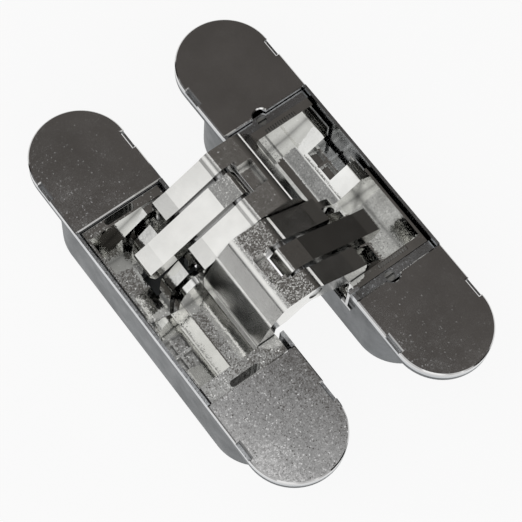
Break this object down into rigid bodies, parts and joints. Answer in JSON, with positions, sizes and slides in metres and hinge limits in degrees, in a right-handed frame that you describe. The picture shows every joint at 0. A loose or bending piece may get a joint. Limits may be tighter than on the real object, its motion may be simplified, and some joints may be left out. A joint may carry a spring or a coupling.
{
  "type": "concealed mortise door hinge",
  "caption": "Open concealed mortise hinge: two round-ended cup leaves with clip-on end caps, joined by interleaved cast arms that fold through 180 degrees.",
  "frame": {"origin": "midway between the two leaves, at the level of the bottoms of their cups", "axes": "+X from the plain leaf to the leaf with the slide frame, +Y along the leaves and the pivot pins, +Z out of the leaf faces"},
  "size_m": [0.082, 0.1312, 0.0415],
  "materials": {
    "housing_metal": "zinc die casting, matt nickel",
    "carriage_metal": "polished nickel on a zinc die casting",
    "arm_metal": "polished nickel on a zinc die casting",
    "cap_metal": "polished nickel",
    "pin_steel": "ground steel",
    "screw_steel": "zinc-plated steel"
  },
  "bodies": {
    "leaf_a": {"housing_a": "housing_metal"},
    "carriage_a": {"carriage_a": "carriage_metal", "pivot_pin_a": "pin_steel", "link_pin_a": "pin_steel"},
    "arm_a": {"arm_a": "arm_metal", "link_a": "arm_metal", "guide_pins_a": "pin_steel", "centre_pin": "pin_steel"},
    "arm_b": {"arm_b": "arm_metal", "link_b": "arm_metal", "guide_pins_b": "pin_steel"},
    "carriage_b": {"carriage_b": "carriage_metal", "pivot_pin_b": "pin_steel", "link_pin_b": "pin_steel", "toothed_strip_upper": "screw_steel", "toothed_strip_lower": "screw_steel"},
    "slide_frame_b": {"slide_frame_b": "carriage_metal"},
    "leaf_b": {"housing_b": "housing_metal", "wire_clip": "pin_steel"},
    "cap_a_upper": {"cap_a_upper": "cap_metal"},
    "cap_a_lower": {"cap_a_lower": "cap_metal"},
    "cap_b_upper": {"cap_b_upper": "cap_metal"},
    "cap_b_lower": {"cap_b_lower": "cap_metal"},
    "depth_screw_upper": {"depth_screw_upper": "screw_steel"},
    "depth_screw_lower": {"depth_screw_lower": "screw_steel"},
    "height_screw_upper": {"height_screw_upper": "screw_steel"},
    "height_screw_lower": {"height_screw_lower": "screw_steel"},
    "side_screw_upper": {"side_screw_upper": "screw_steel"},
    "side_screw_lower": {"side_screw_lower": "screw_steel"}
  },
  "joints": [
    {"name": "depth_adjust", "type": "slide", "parent": "leaf_a", "child": "carriage_a", "axis": [1, 0, 0], "range_m": [-0.0008, 0.0008]},
    {"name": "arm_fold", "type": "hinge", "parent": "carriage_a", "child": "arm_a", "pos_m": [-0.015, 0, 0.0195], "axis": [0, -1, 0], "range_deg": [0, 101.58]},
    {"name": "centre_fold", "type": "hinge", "parent": "arm_a", "child": "arm_b", "pos_m": [0, 0, 0.0379], "axis": [0, -1, 0], "range_deg": [-23.17, 0]},
    {"name": "far_fold", "type": "hinge", "parent": "arm_b", "child": "carriage_b", "pos_m": [0.015, 0, 0.0195], "axis": [0, -1, 0], "range_deg": [0, 101.59]},
    {"name": "side_adjust", "type": "slide", "parent": "carriage_b", "child": "slide_frame_b", "axis": [0, 0, 1], "range_m": [-0.001, 0.001]},
    {"name": "height_adjust", "type": "slide", "parent": "slide_frame_b", "child": "leaf_b", "axis": [0, 1, 0], "range_m": [-0.0015, 0.0015]},
    {"name": "cap_a_upper_lift", "type": "slide", "parent": "leaf_a", "child": "cap_a_upper", "axis": [0, 0, 1], "range_m": [0, 0.0018]},
    {"name": "cap_a_lower_lift", "type": "slide", "parent": "leaf_a", "child": "cap_a_lower", "axis": [0, 0, 1], "range_m": [0, 0.0018]},
    {"name": "cap_b_upper_lift", "type": "slide", "parent": "leaf_b", "child": "cap_b_upper", "axis": [0, 0, 1], "range_m": [0, 0.0018]},
    {"name": "cap_b_lower_lift", "type": "slide", "parent": "leaf_b", "child": "cap_b_lower", "axis": [0, 0, 1], "range_m": [0, 0.0018]},
    {"name": "depth_screw_upper_turn", "type": "hinge", "parent": "leaf_a", "child": "depth_screw_upper", "pos_m": [-0.026, 0.0366, 0.024], "axis": [0, 0, 1], "continuous": true},
    {"name": "depth_screw_lower_turn", "type": "hinge", "parent": "leaf_a", "child": "depth_screw_lower", "pos_m": [-0.026, -0.0366, 0.024], "axis": [0, 0, 1], "continuous": true},
    {"name": "height_screw_upper_turn", "type": "hinge", "parent": "leaf_b", "child": "height_screw_upper", "pos_m": [0.026, 0.0366, 0.024], "axis": [0, 0, 1], "continuous": true},
    {"name": "height_screw_lower_turn", "type": "hinge", "parent": "leaf_b", "child": "height_screw_lower", "pos_m": [0.026, -0.0366, 0.024], "axis": [0, 0, 1], "continuous": true},
    {"name": "side_screw_upper_turn", "type": "hinge", "parent": "slide_frame_b", "child": "side_screw_upper", "pos_m": [0.024, 0.0301, 0.024], "axis": [0, 0, 1], "continuous": true},
    {"name": "side_screw_lower_turn", "type": "hinge", "parent": "slide_frame_b", "child": "side_screw_lower", "pos_m": [0.024, -0.0301, 0.024], "axis": [0, 0, 1], "continuous": true}
  ],
  "couplings": [
    {"joint": "centre_fold", "follows": "arm_fold", "ratio": -0.22805},
    {"joint": "far_fold", "follows": "arm_fold", "ratio": 1}
  ]
}
